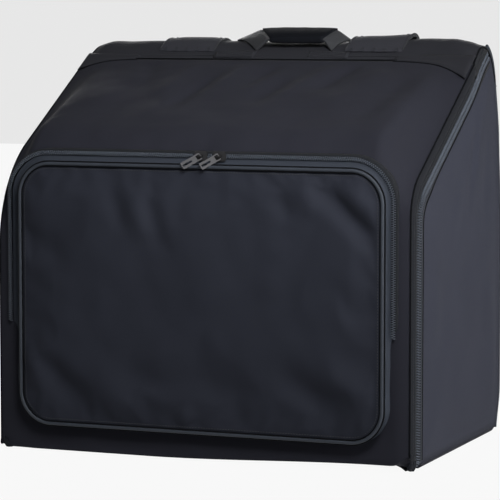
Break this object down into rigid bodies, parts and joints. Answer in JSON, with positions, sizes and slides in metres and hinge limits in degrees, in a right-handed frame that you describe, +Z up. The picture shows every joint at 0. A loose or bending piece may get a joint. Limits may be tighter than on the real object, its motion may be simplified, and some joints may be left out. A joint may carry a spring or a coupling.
{
  "type": "accordion case",
  "caption": "Soft padded case with a sloped zip-open lid, a piped front pocket, a top carrying handle and padded back straps.",
  "frame": {"origin": "middle of the flat bottom", "axes": "+X to the right seen from the front, -Y to the front with the pocket, +Z up"},
  "size_m": [0.4975, 0.3567, 0.4782],
  "materials": {
    "shell": "woven nylon, soft sheen",
    "lining": "soft pile",
    "board": "matte",
    "pocket": "woven nylon, soft sheen",
    "piping": "satin",
    "zip_tape": "woven tape",
    "zip_teeth": "satin",
    "slider": "dark metal, satin",
    "webbing": "ribbed webbing",
    "grip": "smooth, satin",
    "strap_pad": "woven nylon",
    "lock": "moulded"
  },
  "bodies": {
    "case": {"back_panel": "shell", "base_board": "board", "bottom_panel": "shell", "case_lining": "lining", "case_zip_row": "zip_teeth", "case_zip_tape": "zip_tape", "left_corner_strip": "shell", "left_corner_zip": "zip_teeth", "left_handle_anchor": "webbing", "left_ladder_lock": "lock", "left_lock_loop": "webbing", "left_shoulder_strap": "strap_pad", "left_side_panel": "shell", "left_strap_tab": "webbing", "left_strap_webbing": "webbing", "right_corner_strip": "shell", "right_corner_zip": "zip_teeth", "right_handle_anchor": "webbing", "right_ladder_lock": "lock", "right_lock_loop": "webbing", "right_shoulder_strap": "strap_pad", "right_side_panel": "shell", "right_strap_tab": "webbing", "right_strap_webbing": "webbing", "top_yoke": "shell"},
    "lid": {"lid_panel": "shell", "left_lid_gusset": "shell", "right_lid_gusset": "shell", "lid_lining": "lining", "lid_zip_tape": "zip_tape", "lid_zip_row": "zip_teeth", "pocket_zip_tape": "zip_tape", "pocket_outer_row": "zip_teeth", "pocket_lower_gusset": "pocket", "pocket_lower_face": "pocket", "pocket_lower_piping": "piping"},
    "pocket_flap": {"pocket_face": "pocket", "pocket_gusset": "pocket", "pocket_piping": "piping", "pocket_inner_row": "zip_teeth"},
    "handle": {"handle_webbing": "webbing", "handle_grip": "grip"},
    "main_upper_slider": {"main_upper_slider": "slider"},
    "main_lower_slider": {"main_lower_slider": "slider"},
    "main_upper_puller": {"main_upper_puller": "slider"},
    "main_lower_puller": {"main_lower_puller": "slider"},
    "pocket_left_slider": {"pocket_left_slider": "slider"},
    "pocket_right_slider": {"pocket_right_slider": "slider"},
    "pocket_left_puller": {"pocket_left_puller": "slider"},
    "pocket_right_puller": {"pocket_right_puller": "slider"}
  },
  "joints": [
    {"name": "lid_opening", "type": "hinge", "parent": "case", "child": "lid", "pos_m": [0, 0.06363, 0.43733], "axis": [-1, 0, 0], "range_deg": [0, 100]},
    {"name": "pocket_opening", "type": "hinge", "parent": "lid", "child": "pocket_flap", "pos_m": [0, -0.18045, 0.145], "axis": [1, 0, 0], "range_deg": [0, 80]},
    {"name": "handle_swing", "type": "hinge", "parent": "case", "child": "handle", "pos_m": [0.006, 0.08002, 0.44739], "axis": [1, 0, 0], "range_deg": [0, 40]},
    {"name": "main_upper_zip", "type": "slide", "parent": "case", "child": "main_upper_slider", "axis": [0, 0, 1], "range_m": [0, 0.085]},
    {"name": "main_lower_zip", "type": "slide", "parent": "case", "child": "main_lower_slider", "axis": [0, 0, 1], "range_m": [-0.115, 0]},
    {"name": "main_upper_puller_swing", "type": "hinge", "parent": "main_upper_slider", "child": "main_upper_puller", "pos_m": [-0.249, -0.1335, 0.166], "axis": [0, 1, 0], "range_deg": [0, 165]},
    {"name": "main_lower_puller_swing", "type": "hinge", "parent": "main_lower_slider", "child": "main_lower_puller", "pos_m": [-0.249, -0.1335, 0.144], "axis": [0, 1, 0], "range_deg": [0, 165]},
    {"name": "pocket_left_zip", "type": "slide", "parent": "pocket_flap", "child": "pocket_left_slider", "axis": [1, 0, 0], "range_m": [-0.17, 0.003]},
    {"name": "pocket_right_zip", "type": "slide", "parent": "pocket_flap", "child": "pocket_right_slider", "axis": [1, 0, 0], "range_m": [-0.003, 0.14]},
    {"name": "pocket_left_puller_swing", "type": "hinge", "parent": "pocket_left_slider", "child": "pocket_left_puller", "pos_m": [0.007, -0.1703, 0.337], "axis": [-0.5736, 0, 0.8192], "range_deg": [0, 105]},
    {"name": "pocket_right_puller_swing", "type": "hinge", "parent": "pocket_right_slider", "child": "pocket_right_puller", "pos_m": [0.029, -0.1703, 0.337], "axis": [-0.5736, 0, 0.8192], "range_deg": [0, 105]}
  ]
}
